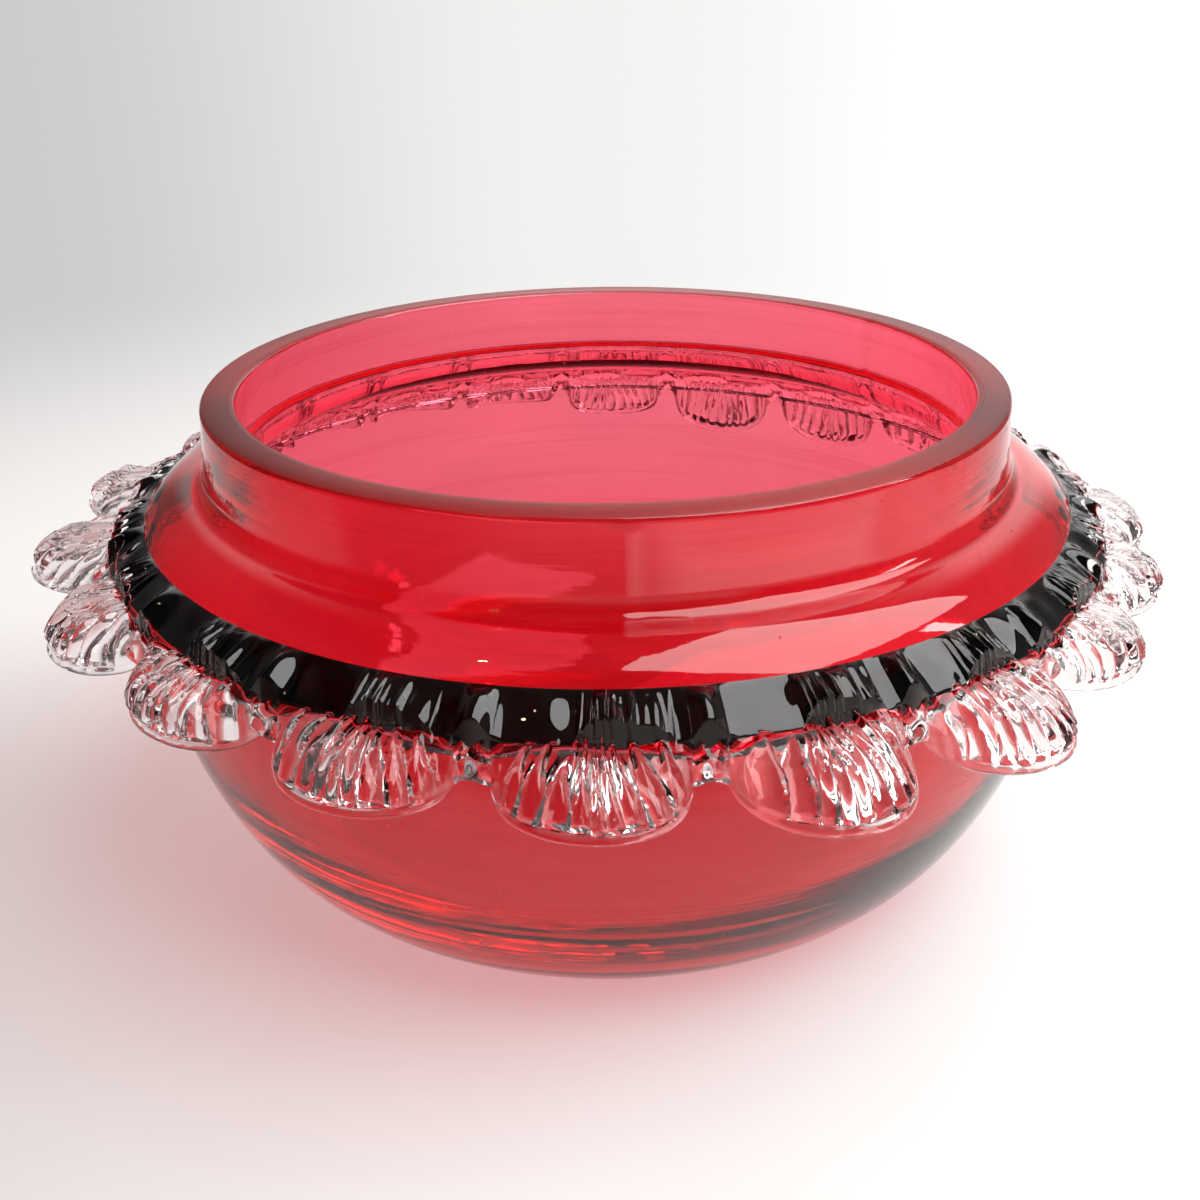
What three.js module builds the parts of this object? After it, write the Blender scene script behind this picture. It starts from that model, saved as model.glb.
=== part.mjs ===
// A squat cranberry glass bowl with a ground rim and a pincered frill of clear glass shells.
// Millimetres, +Z up. The origin is the middle of the flat foot, and azimuth 270 degrees is the front.
import * as THREE from 'three';

// The blown body: a clear casing outside, a thin gold-ruby lining inside
const bowlHeight = 91;
const rimRadius = 75;
const collarHeight = 14.7;
const collarFlare = 1;
const shoulderHeight = 14.3;
const shoulderReach = 14.3;
const footRadius = 60;
const bellyFullness = 1.85;
const casingWall = 4.6;
const casingFloor = 6;
const liningWall = 1.3;
const liningFloor = 1.4;
const rimChamfer = 0.5;

// The wall thins away from the rim: how much nearer the inner skins lie to the outer one at each level
const shoulderThinning = 1.5;
const bellyThinning = 1.2;
const footThinning = 2.4;
const innerFullness = 2.2;

// The applied trail round the shoulder, which the shells are pinched from
const trailRise = 4.2;
const trailHalfHeight = 4.5;
const trailDepth = 3.4;
const trailSquareness = 2.6;

// The shells: how many, how evenly spaced, and how far a lip stands out from the belly and hangs below
// the trail's middle. A beat is the turn, in radians, that a drift makes from one shell to the next.
const shellCount = 20;
const frontShellAzimuth = 266.2;
const spacingDrift = 3.6;
const spacingFlutter = 2.4;
const flutterPhase = 0.55;
const shellReach = 15.7;
const shellDrop = 9;
const reachDrift = 2.6;
const reachBeat = 1.3;
const hangDrift = 0.7;
const hangBeat = 1.7;
const lipSag = 1.6;
const webReach = 3.2;
const webDrop = 8.2;
const archRise = 2.4;
const archDrop = 1.2;
const archStep = 1.1;
const lobeShare = 0.84;
const shellRound = 0.55;
const shellSwell = 3;
const shellHollow = 2;
const shellLean = 0.6;
const fanNarrowing = 0.45;
const rootDrop = 3;
const lipThickness = 2.2;
const ribCount = 8;
const ribDepth = 0.45;

// The webs are the trail left unpinched, thick and round as fingertips
const fingerShare = 0.26;
const fingerReach = 2.3;
const fingerLift = 2;
const fingerThickening = 1;
const fingerSwell = 1.2;

// The frill isn't level: its lips rise and reach out on the left, and sink and draw in at the back right
const leftAzimuth = 170;
const leftWidth = 60;
const leftRise = 2.5;
const leftReach = 4;
const backAzimuth = 62;
const backWidth = 75;
const backSink = 8;
const backDraw = 7;

// Pieces that the maker fused face to face lie this far apart here
const seatGap = 0.3;

// How finely round shapes are divided
const roundSteps = 64;
const lowerSteps = 8;
const shoulderSteps = 5;
const beadSteps = 8;
const rootSteps = 3;

const creaseHeight = bowlHeight - collarHeight;
const bellyHeight = creaseHeight - shoulderHeight;
const creaseRadius = rimRadius + collarFlare;
const bellyRadius = creaseRadius + shoulderReach;
const trailHeight = bellyHeight + trailRise;

const clearGlass = { color: '#efe3e0', roughness: 0.05, metalness: 0 };
const rubyGlass = { color: '#c41f38', roughness: 0.06, metalness: 0 };

// One skin of the body from its floor to the rim, a given distance inside the outer surface at the rim.
// The lower half is a quarter of a superellipse, the shoulder a quarter of an ellipse.
function skinPoints(inset, floorHeight) {
  const thinned = inset > 0 ? 1 : 0;
  const foot = footRadius - inset + thinned * footThinning;
  const belly = bellyRadius - inset + thinned * bellyThinning;
  const crease = creaseRadius - inset;
  const rise = shoulderHeight - inset + thinned * shoulderThinning;
  const fullness = thinned ? innerFullness : bellyFullness;
  const points = [];
  for (let i = 0; i <= lowerSteps; i += 1) {
    const angle = (i / lowerSteps) * Math.PI / 2;
    const radius = foot + (belly - foot) * Math.sin(angle);
    const drop = (bellyHeight - floorHeight) * Math.max(Math.cos(angle), 0) ** (2 / fullness);
    points.push(new THREE.Vector2(radius, bellyHeight - drop));
  }
  for (let i = 1; i <= shoulderSteps; i += 1) {
    const angle = (i / shoulderSteps) * Math.PI / 2;
    const radius = crease + (belly - crease) * Math.cos(angle);
    points.push(new THREE.Vector2(radius, bellyHeight + rise * Math.sin(angle)));
  }
  return points;
}

// The radius of the body's outer surface at a height near the belly, grown by a clearance.
function wallRadius(height, clearance) {
  if (height < bellyHeight) {
    const depth = (bellyHeight - height) / bellyHeight;
    const share = Math.sqrt(1 - depth ** bellyFullness);
    return footRadius + clearance + (bellyRadius - footRadius) * share;
  }
  const rise = (height - bellyHeight) / (shoulderHeight + clearance);
  return creaseRadius + clearance + shoulderReach * Math.sqrt(1 - rise * rise);
}

function turned(points) {
  const geometry = new THREE.LatheGeometry(points, roundSteps);
  geometry.rotateX(Math.PI / 2);
  return geometry;
}

function piece(name, geometry, look) {
  const mesh = new THREE.Mesh(geometry, new THREE.MeshStandardMaterial(look));
  mesh.name = name;
  return mesh;
}

// The clear casing stands on the flat foot and carries everything else.
function clearCasing() {
  const inner = skinPoints(casingWall, casingFloor);
  const profile = [
    new THREE.Vector2(0, 0),
    ...skinPoints(0, 0),
    new THREE.Vector2(rimRadius, bowlHeight - rimChamfer),
    new THREE.Vector2(rimRadius - rimChamfer, bowlHeight),
    new THREE.Vector2(rimRadius - casingWall, bowlHeight),
    ...inner.reverse(),
    new THREE.Vector2(0, casingFloor),
  ];
  return piece('clear_casing', turned(profile), clearGlass);
}

// The ruby lining fills the casing from floor to rim and is the bowl's inner surface.
function rubyLining() {
  const outset = casingWall + seatGap;
  const wall = outset + liningWall;
  const seat = casingFloor + seatGap;
  const floor = seat + liningFloor;
  const inner = skinPoints(wall, floor);
  const profile = [
    new THREE.Vector2(0, seat),
    ...skinPoints(outset, seat),
    new THREE.Vector2(rimRadius - outset, bowlHeight),
    new THREE.Vector2(rimRadius - wall + rimChamfer, bowlHeight),
    new THREE.Vector2(rimRadius - wall, bowlHeight - rimChamfer),
    ...inner.reverse(),
    new THREE.Vector2(0, floor),
  ];
  return piece('ruby_lining', turned(profile), rubyGlass);
}

// The trail's outer face: a flattened bead, deepest at its middle and closing on the wall at both edges.
function trailRadius(height, clearance) {
  const across = Math.min(Math.abs(height - trailHeight) / trailHalfHeight, 1);
  const depth = trailDepth * (1 - across ** trailSquareness) ** (1 / trailSquareness);
  return wallRadius(height, seatGap) + depth + clearance;
}

function frillTrail() {
  const front = [];
  const back = [];
  for (let i = 0; i <= beadSteps; i += 1) {
    const angle = (i / beadSteps) * Math.PI;
    const height = trailHeight - trailHalfHeight * Math.cos(angle);
    front.push(new THREE.Vector2(trailRadius(height, 0), height));
    if (i > 0 && i < beadSteps && i % 2 === 0) {
      back.push(new THREE.Vector2(wallRadius(height, seatGap), height));
    }
  }
  const profile = [...front, ...back.reverse(), front[0].clone()];
  return piece('frill_trail', turned(profile), clearGlass);
}

// The pincers never closed at quite even steps, so the shells drift a little from equal spacing.
function shellAzimuth(index) {
  const turn = (index / shellCount) * 2 * Math.PI;
  const drift = spacingDrift * Math.sin(turn) + spacingFlutter * Math.cos(2 * turn - flutterPhase);
  return frontShellAzimuth + index * 360 / shellCount + drift;
}

// 1 at an azimuth, falling to 0 at a width on either side of it.
function near(azimuth, middle, width) {
  const away = Math.abs(THREE.MathUtils.euclideanModulo(azimuth - middle + 180, 360) - 180);
  return Math.cos(Math.min(away / width, 1) * Math.PI / 2) ** 2;
}

// One cross-section of a shell, as a closed loop of [radius, height, fan, rib] corners. side runs from
// -1 at the web on the left to 1 at the web on the right, fan is how far the corner gathers to the
// middle, and rib is how much of the rib's depth it takes.
function shellSection(side, lipRadius, lipHeight) {
  const across = Math.min(Math.abs(side) / lobeShare, 1);
  const swell = (1 - across * across) ** shellRound;
  const finger = Math.cos(Math.min((1 - Math.abs(side)) / fingerShare, 1) * Math.PI / 2) ** 2;
  const archHeight = trailHeight + archRise - archDrop * side * side;
  const rootHeight = trailHeight - rootDrop;
  const webRadius = bellyRadius + webReach;
  const tip = new THREE.Vector2(webRadius, trailHeight - webDrop);
  tip.lerp(new THREE.Vector2(lipRadius, lipHeight), swell);
  tip.x += fingerReach * finger;
  tip.y += fingerLift * finger - lipSag * 4 * swell * (1 - swell);
  const crest = new THREE.Vector2(trailRadius(archHeight, archStep), archHeight);
  const root = new THREE.Vector2(trailRadius(rootHeight, seatGap), rootHeight);
  const along = tip.clone().sub(crest).normalize();
  const outward = new THREE.Vector2(-along.y, along.x);
  const half = lipThickness / 2 + fingerThickening * finger;
  const lipTop = tip.clone().addScaledVector(along, -half).addScaledVector(outward, half);
  const lipUnder = tip.clone().addScaledVector(along, -half).addScaledVector(outward, -half);
  const brow = crest.clone().lerp(lipTop, 0.5);
  brow.addScaledVector(outward, shellSwell * swell + fingerSwell * finger);
  const under = lipUnder.clone().lerp(root, 0.5).addScaledVector(outward, shellHollow * swell);
  const narrow = fanNarrowing * swell;
  const corners = [
    [crest.x, crest.y, narrow, 0],
    [brow.x, brow.y, narrow / 2, swell],
    [lipTop.x, lipTop.y, 0, swell],
    [tip.x, tip.y, 0, swell],
    [lipUnder.x, lipUnder.y, 0, 0],
    [under.x, under.y, narrow / 2, 0],
  ];
  for (let i = 0; i <= rootSteps; i += 1) {
    const height = THREE.MathUtils.lerp(rootHeight, archHeight, i / rootSteps);
    corners.push([trailRadius(height, seatGap), height, narrow, 0]);
  }
  return corners;
}

// A shell lofted from section to section, from the web on its left to the web on its right.
function frillShell(index) {
  const middle = shellAzimuth(index);
  const webGap = THREE.MathUtils.radToDeg(seatGap / 2 / bellyRadius);
  const left = (middle - shellAzimuth(index - 1)) / 2 - webGap;
  const right = (shellAzimuth(index + 1) - middle) / 2 - webGap;
  const toLeft = near(middle, leftAzimuth, leftWidth);
  const toBack = near(middle, backAzimuth, backWidth);
  const reach = shellReach + reachDrift * Math.sin(reachBeat * index) + leftReach * toLeft - backDraw * toBack;
  const hang = hangDrift * Math.cos(hangBeat * index) + leftRise * toLeft - backSink * toBack;
  const lipHeight = trailHeight - shellDrop + hang;
  const columns = 2 * ribCount;
  const positions = [];
  const sections = [];
  for (let i = 0; i <= columns; i += 1) {
    const side = 2 * i / columns - 1;
    const section = shellSection(side, bellyRadius + reach, lipHeight);
    const rib = i % 2 === 0 ? -ribDepth : ribDepth;
    sections.push(section.map((corner) => new THREE.Vector2(corner[0], corner[1])));
    for (const [radius, height, fan, share] of section) {
      const gathered = side * (1 - fan * (1 - side * side));
      const lean = shellLean * (1 - side * side) * (1 - fan);
      const swing = gathered * (gathered < 0 ? left : right) + lean;
      const azimuth = THREE.MathUtils.degToRad(middle + swing);
      const ridged = radius + rib * share;
      positions.push(ridged * Math.cos(azimuth), ridged * Math.sin(azimuth), height);
    }
  }
  const corners = sections[0].length;
  const faces = [];
  for (let i = 0; i < columns; i += 1) {
    for (let j = 0; j < corners; j += 1) {
      const a = i * corners + j;
      const b = i * corners + (j + 1) % corners;
      faces.push(a, b, a + corners, b, b + corners, a + corners);
    }
  }
  for (const [a, b, c] of THREE.ShapeUtils.triangulateShape(sections[0], [])) {
    faces.push(a, b, c);
  }
  const last = columns * corners;
  for (const [a, b, c] of THREE.ShapeUtils.triangulateShape(sections[columns], [])) {
    faces.push(last + a, last + c, last + b);
  }
  const geometry = new THREE.BufferGeometry();
  geometry.setAttribute('position', new THREE.Float32BufferAttribute(positions, 3));
  geometry.setIndex(faces);
  geometry.computeVertexNormals();
  const label = String(index + 1).padStart(2, '0');
  return piece(`shell_${label}`, geometry, clearGlass);
}

const bowl = new THREE.Group();
bowl.add(clearCasing(), rubyLining(), frillTrail());
for (let index = 0; index < shellCount; index += 1) {
  bowl.add(frillShell(index));
}

export default bowl;
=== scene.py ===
import bpy
import numpy as np
from mathutils import Matrix, Vector

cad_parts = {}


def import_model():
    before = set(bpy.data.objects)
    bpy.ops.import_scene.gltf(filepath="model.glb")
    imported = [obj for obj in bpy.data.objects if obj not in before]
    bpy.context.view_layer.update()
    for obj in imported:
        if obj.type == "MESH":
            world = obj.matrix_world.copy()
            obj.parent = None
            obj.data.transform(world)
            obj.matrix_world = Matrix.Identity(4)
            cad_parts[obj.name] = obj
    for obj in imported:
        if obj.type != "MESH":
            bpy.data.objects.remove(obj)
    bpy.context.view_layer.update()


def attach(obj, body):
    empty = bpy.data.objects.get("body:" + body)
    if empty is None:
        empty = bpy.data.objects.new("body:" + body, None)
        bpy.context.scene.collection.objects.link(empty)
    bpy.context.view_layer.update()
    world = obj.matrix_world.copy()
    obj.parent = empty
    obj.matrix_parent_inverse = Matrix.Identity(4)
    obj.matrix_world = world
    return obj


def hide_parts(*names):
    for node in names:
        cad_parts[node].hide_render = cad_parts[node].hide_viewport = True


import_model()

MM = 0.001

# The blown body, in millimetres as in the part's source. Here the casing's wall and floor reach to the
# lining, over the gap that the part leaves between the two.
BOWL_HEIGHT = 91
RIM_RADIUS = 75
COLLAR_HEIGHT = 14.7
COLLAR_FLARE = 1
SHOULDER_HEIGHT = 14.3
SHOULDER_REACH = 14.3
FOOT_RADIUS = 60
BELLY_FULLNESS = 1.85
CASING_WALL = 4.9
CASING_FLOOR = 6.3
LINING_WALL = 1.3
LINING_FLOOR = 1.4
RIM_CHAMFER = 0.5
CREASE_FILLET = 3.2
INNER_FILLET = 5.5
DISC_ROWS = 12
BODY_STEPS = 384

# How much nearer the inner skins lie to the outer one at each level than at the rim
SHOULDER_THINNING = 1.5
BELLY_THINNING = 1.2
FOOT_THINNING = 2.4
INNER_FULLNESS = 2.2

# The trail and the shells pinched from it
TRAIL_RISE = 4.2
TRAIL_HALF_HEIGHT = 4.5
TRAIL_DEPTH = 3.7
TRAIL_SQUARENESS = 2.6
SHELL_COUNT = 20
FRONT_SHELL_AZIMUTH = 266.2
SPACING_DRIFT = 3.6
SPACING_FLUTTER = 2.4
FLUTTER_PHASE = 0.55
SHELL_REACH = 15.7
SHELL_DROP = 9
REACH_DRIFT = 2.6
REACH_BEAT = 1.3
HANG_DRIFT = 0.7
HANG_BEAT = 1.7
WEB_REACH = 3.2
LIP_SAG = 0.4
WEB_DROP = 8.2
SHELL_ROUND = 0.55
LOBE_SHARE = 0.84
SHELL_LEAN = 0.6
FAN_NARROWING = 0.6
ROOT_DROP = 3
WEB_ROOT_DROP = 4.5
LIP_THICKNESS = 1.7

# The frill isn't level: where and how far its lips rise and reach, and where they sink and draw in
LEFT_AZIMUTH = 170
LEFT_WIDTH = 60
LEFT_RISE = 2.5
LEFT_REACH = 2.5
BACK_AZIMUTH = 62
BACK_WIDTH = 75
BACK_SINK = 8
BACK_DRAW = 7

# Fused faces lie this far apart, and the materials let light through them
FUSED_GAP = 0.02

# Seams left by the two halves of the mould, in degrees round the bowl
SEAM_PLACES = (-88.6, 37.0)
SEAM_WIDTH = 1.3
SEAM_LIFT = 0.3
SEAM_FOOT = (73, 76)
SEAM_TOP = (90.4, 89)

# Heights between which the glass behind the trail gets painted shade, drawn near black on its outer side
BAND_PAINTED_SHADE_LOW = 62.0
BAND_PAINTED_SHADE_FULL = 62.6

CREASE_HEIGHT = BOWL_HEIGHT - COLLAR_HEIGHT
BELLY_HEIGHT = CREASE_HEIGHT - SHOULDER_HEIGHT
CREASE_RADIUS = RIM_RADIUS + COLLAR_FLARE
BELLY_RADIUS = CREASE_RADIUS + SHOULDER_REACH
TRAIL_HEIGHT = BELLY_HEIGHT + TRAIL_RISE


def smooth(edge_low, edge_high, value):
    """0 below the first edge, 1 past the second, and 3t^2 - 2t^3 between them. Edges may run either way."""
    t = np.clip((value - edge_low) / (edge_high - edge_low), 0, 1)
    return t * t * (3 - 2 * t)


def bezier(start, middle, end, share):
    """Points of the quadratic curve (1-t)^2 start + 2t(1-t) middle + t^2 end, one for each share t."""
    t = share[:, None]
    return (1 - t) ** 2 * start + 2 * t * (1 - t) * middle + t * t * end


# The body


def skin(inset, floor_height):
    """One skin of the body from its floor to below the rim, as [radius, height] rows in millimetres.
    Lower quarter: r = foot + (belly - foot) sin a, z = belly height - drop * cos(a)^(2 / fullness).
    Shoulder: r = crease + (belly - crease) cos a, z = belly height + rise sin a.
    The corner at the crease is rounded by a quadratic curve, and the collar is straight. An inner skin lies
    the inset inside the outer one at the rim, and nearer to it further down."""
    thinned = 1 if inset > 0 else 0
    foot = FOOT_RADIUS - inset + thinned * FOOT_THINNING
    belly = BELLY_RADIUS - inset + thinned * BELLY_THINNING
    rise = SHOULDER_HEIGHT - inset + thinned * SHOULDER_THINNING
    fullness = INNER_FULLNESS if thinned else BELLY_FULLNESS
    a = np.linspace(0, np.pi / 2, 64)
    drop = (BELLY_HEIGHT - floor_height) * np.cos(a).clip(0) ** (2 / fullness)
    lower = np.c_[foot + (belly - foot) * np.sin(a), BELLY_HEIGHT - drop]
    crease = np.array([CREASE_RADIUS - inset, BELLY_HEIGHT + rise])
    fillet = INNER_FILLET if thinned else CREASE_FILLET
    a = np.linspace(0, np.arccos(fillet / SHOULDER_REACH), 28)[1:]
    shoulder = np.c_[crease[0] + (belly - crease[0]) * np.cos(a), BELLY_HEIGHT + rise * np.sin(a)]
    top = crease + [-COLLAR_FLARE * fillet / COLLAR_HEIGHT, fillet]
    corner = bezier(shoulder[-1], crease + [0, 0.2], top, np.linspace(0, 1, 14)[1:])
    share = np.linspace(0, 1, 20)[1:]
    rim = np.array([RIM_RADIUS - inset, BOWL_HEIGHT - RIM_CHAMFER])
    collar = top + (rim - top) * share[:, None]
    return np.r_[lower, shoulder, corner, collar]


def disc(radius, height, steps):
    """Rows of a flat disc from just off the axis to the radius, all at one height."""
    return np.c_[radius * np.linspace(0, 1, steps + 1)[:-1], np.full(steps, height)]


def shape(name, points, faces, sharp_angle=50):
    """A smooth-shaded mesh object from an array of points in millimetres and lists of faces, with sharp
    edges where two faces meet at more than the angle in degrees."""
    mesh = bpy.data.meshes.new(name)
    mesh.from_pydata(points * MM, [], faces)
    mesh.polygons.foreach_set("use_smooth", np.ones(len(mesh.polygons), bool))
    mesh.set_sharp_from_angle(angle=np.radians(sharp_angle))
    mesh.update()
    made = bpy.data.objects.new(name, mesh)
    bpy.context.scene.collection.objects.link(made)
    return made


def mark(made, name, domain, values):
    """Stores one number for each point or face of a piece, for its material to read."""
    layer = made.data.attributes.new(name, "FLOAT", domain)
    layer.data.foreach_set("value", np.asarray(values, np.float32).ravel())


def grid_faces(rows, columns, wrap_rows, wrap_columns, flip=False):
    """Quads of a grid whose point (i, j) has the index i * columns + j, closed round either way if asked."""
    i = np.arange(rows if wrap_rows else rows - 1)[:, None]
    j = np.arange(columns if wrap_columns else columns - 1)[None, :]
    below, beside = (i + 1) % rows, (j + 1) % columns
    quads = [i * columns + j, i * columns + beside, below * columns + beside, below * columns + j]
    quads = np.stack(np.broadcast_arrays(*quads), -1).reshape(-1, 4)
    return quads[:, ::-1] if flip else quads


def turned(name, profile, steps, closed):
    """A surface of revolution: x = r cos a, y = r sin a, z = z for each profile row and each of the equal
    steps of a. An open profile begins and ends on the axis, where one point closes each pole."""
    turn = np.arange(steps) / steps * 2 * np.pi
    body = profile if closed else profile[1:-1]
    r, z = body[:, 0, None], body[:, 1, None]
    points = np.stack(np.broadcast_arrays(r * np.cos(turn), r * np.sin(turn), z), -1).reshape(-1, 3)
    rows = len(body)
    faces = grid_faces(rows, steps, closed, True).tolist()
    if not closed:
        points = np.r_[points, [[0, 0, profile[0, 1]], [0, 0, profile[-1, 1]]]]
        start, end, last = rows * steps, rows * steps + 1, (rows - 1) * steps
        faces += [[start, (j + 1) % steps, j] for j in range(steps)]
        faces += [[end, last + j, last + (j + 1) % steps] for j in range(steps)]
    return shape(name, points, faces)


def lap_seam(made):
    """Raises the mould's seams on the collar: the radius grows by a Gaussian of the azimuth, over heights
    from the crease to the rim."""
    flat = np.empty(3 * len(made.data.vertices))
    made.data.vertices.foreach_get("co", flat)
    points = flat.reshape(-1, 3) / MM
    radius = np.hypot(points[:, 0], points[:, 1])
    azimuth = np.degrees(np.arctan2(points[:, 1], points[:, 0]))
    outside = radius > RIM_RADIUS - CASING_WALL / 2
    reach = smooth(*SEAM_FOOT, points[:, 2]) * smooth(*SEAM_TOP, points[:, 2]) * outside
    ridges = sum(np.exp(-((azimuth - place) / SEAM_WIDTH) ** 2) for place in SEAM_PLACES)
    lift = SEAM_LIFT * ridges * reach
    points[:, :2] *= ((radius + lift) / np.maximum(radius, 1))[:, None]
    made.data.vertices.foreach_set("co", (points * MM).ravel())
    made.data.update()


def casing():
    """The clear outer layer: foot, belly, shoulder and collar outside, and the face fused to the lining
    inside. Gives the piece, its profile and the profile row where the inside begins."""
    outer = skin(0, 0)
    inner = skin(CASING_WALL - FUSED_GAP, CASING_FLOOR - FUSED_GAP)
    rim = [[RIM_RADIUS - RIM_CHAMFER, BOWL_HEIGHT], [RIM_RADIUS - CASING_WALL + FUSED_GAP, BOWL_HEIGHT]]
    floor = disc(inner[0, 0], CASING_FLOOR - FUSED_GAP, DISC_ROWS)
    profile = np.r_[disc(FOOT_RADIUS, 0, DISC_ROWS), outer, rim, inner[::-1], floor[::-1]]
    made = turned("casing", profile, BODY_STEPS, False)
    lap_seam(made)
    return made, profile, DISC_ROWS + len(outer) + 1


def lining():
    """The ruby layer: the face fused to the casing outside, and the bowl's inner surface. Gives the piece,
    its profile and the profile row where the fused face ends."""
    outer = skin(CASING_WALL, CASING_FLOOR)
    wall, floor = CASING_WALL + LINING_WALL, CASING_FLOOR + LINING_FLOOR
    inner = skin(wall, floor)
    rim = [[RIM_RADIUS - CASING_WALL, BOWL_HEIGHT], [RIM_RADIUS - wall + RIM_CHAMFER, BOWL_HEIGHT]]
    under, over = disc(outer[0, 0], CASING_FLOOR, DISC_ROWS), disc(inner[0, 0], floor, DISC_ROWS)
    profile = np.r_[under, outer, rim, inner[::-1], over[::-1]]
    made = turned("lining", profile, BODY_STEPS, False)
    return made, profile, DISC_ROWS + len(outer)


def on_faces(profile, values):
    """The value of its profile row for each face of a turned body, in the order of its faces."""
    rows = len(profile) - 2
    quads = np.repeat(values[1:rows], BODY_STEPS)
    return np.r_[quads, np.full(BODY_STEPS, values[0]), np.full(BODY_STEPS, values[-1])]


def row_middles(profile):
    """Height at the middle of each profile row."""
    return (profile[1:, 1] + profile[:-1, 1]) / 2


def casing_fused(profile, inside):
    """1 for the casing's profile rows fused to the lining or to the trail, 0 elsewhere."""
    middles = row_middles(profile)
    fused = np.abs(middles - TRAIL_HEIGHT) < TRAIL_HALF_HEIGHT
    fused[:DISC_ROWS] = False
    fused[inside:] = True
    return fused.astype(float)


def casing_painted_shade(profile, inside):
    """Painted shade: 1 for the casing's outer profile rows behind the trail, which are drawn near black
    there, 0 elsewhere.
    """
    middles = row_middles(profile)
    dark = smooth(BAND_PAINTED_SHADE_LOW, BAND_PAINTED_SHADE_FULL, middles) * (middles < TRAIL_HEIGHT + TRAIL_HALF_HEIGHT)
    dark[inside:] = 0
    return dark


# The frill


def wall_radius(height, clearance):
    """Radius of the body's outer surface at heights near the belly, grown by a clearance."""
    depth = ((BELLY_HEIGHT - height) / BELLY_HEIGHT).clip(0)
    below = FOOT_RADIUS + clearance + (BELLY_RADIUS - FOOT_RADIUS) * np.sqrt(1 - depth ** BELLY_FULLNESS)
    rise = ((height - BELLY_HEIGHT) / (SHOULDER_HEIGHT + clearance)).clip(0)
    above = CREASE_RADIUS + clearance + SHOULDER_REACH * np.sqrt(1 - rise * rise)
    return np.where(height < BELLY_HEIGHT, below, above)


def trail_radius(height, clearance):
    """Radius of the trail's outer face: the wall plus depth (1 - |t|^p)^(1/p), for t from -1 to 1 over its
    height."""
    across = np.minimum(np.abs(height - TRAIL_HEIGHT) / TRAIL_HALF_HEIGHT, 1)
    depth = (TRAIL_DEPTH - FUSED_GAP) * (1 - across ** TRAIL_SQUARENESS) ** (1 / TRAIL_SQUARENESS)
    return wall_radius(height, FUSED_GAP) + depth + clearance


def shell_azimuth(index):
    """Degrees at the middle of a shell: equal steps plus a drift of one and two waves round the bowl."""
    turn = index / SHELL_COUNT * 2 * np.pi
    drift = SPACING_DRIFT * np.sin(turn) + SPACING_FLUTTER * np.cos(2 * turn - FLUTTER_PHASE)
    return FRONT_SHELL_AZIMUTH + index * 360 / SHELL_COUNT + drift


def shell_span(index):
    """Middle of a shell and the angles from it to the webs on its left and right, in degrees."""
    middle = shell_azimuth(index)
    return middle, (middle - shell_azimuth(index - 1)) / 2, (shell_azimuth(index + 1) - middle) / 2


def near(azimuth, middle, width):
    """1 at an azimuth in degrees, falling as cos^2 to 0 at a width on either side of it."""
    away = np.abs((azimuth - middle + 180) % 360 - 180)
    return np.cos(np.minimum(away / width, 1) * np.pi / 2) ** 2


def web_share(azimuth):
    """1 at the azimuths of the webs between shells, falling as cos^2 to 0 beside them."""
    share = 0 * azimuth
    for index in range(SHELL_COUNT):
        here, after = shell_azimuth(index), shell_azimuth(index + 1)
        share = np.maximum(share, near(azimuth, (here + after) / 2, FINGER_SHARE * (after - here) / 2))
    return share


def root_height(share):
    """Height from which a shell is fused to the trail's face: lower at the webs, where share is 1."""
    return TRAIL_HEIGHT - ROOT_DROP - (WEB_ROOT_DROP - ROOT_DROP) * share


def swing(side, fan, left, right):
    """Angle from a shell's middle: its side times the span on that side, gathered to the middle by the fan,
    and leaned a little to one side between the webs."""
    gathered = side * (1 - fan * (1 - side * side))
    return gathered * np.where(gathered < 0, left, right) + SHELL_LEAN * (1 - side * side) * (1 - fan)


TRAIL_STEPS = 720
TRAIL_ROWS = 56
TRAIL_LOW_ROWS = 12


def trail():
    """The trail's root: a flattened bead turned round the shoulder. Its face is fused to the shells from
    their root upward, and its back to the casing."""
    lowest = np.arccos(ROOT_DROP / TRAIL_HALF_HEIGHT)
    a = np.r_[np.linspace(0, lowest, TRAIL_LOW_ROWS), np.linspace(lowest, np.pi, TRAIL_ROWS)[1:]]
    height = TRAIL_HEIGHT - TRAIL_HALF_HEIGHT * np.cos(a)
    front = np.c_[trail_radius(height, 0), height]
    back_height = height[::-1][1:-1:4]
    back = np.c_[wall_radius(back_height, FUSED_GAP), back_height]
    profile = np.r_[front, back]
    made = turned("trail", profile, TRAIL_STEPS, True)
    middles = (front[1:, 1] + front[:-1, 1])[:, None] / 2
    azimuth = (np.arange(TRAIL_STEPS) + 0.5)[None, :] * 360 / TRAIL_STEPS
    fused = np.ones((len(profile), TRAIL_STEPS))
    fused[:len(middles)] = middles > root_height(web_share(azimuth))
    mark(made, "fused", "FACE", fused)
    return made


def lobe(side):
    """How far each column reaches from the web to the lip: (1 - s^2)^round over the lobe, 0 at the webs."""
    share = np.minimum(np.abs(side) / LOBE_SHARE, 1)
    return (1 - share * share).clip(0) ** SHELL_ROUND


def finger(side):
    """1 at the middle of a web, falling as cos^2 to 0 beside it: the trail left unpinched, like a finger."""
    return np.cos(np.minimum((1 - np.abs(side)) / FINGER_SHARE, 1) * np.pi / 2) ** 2


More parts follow.
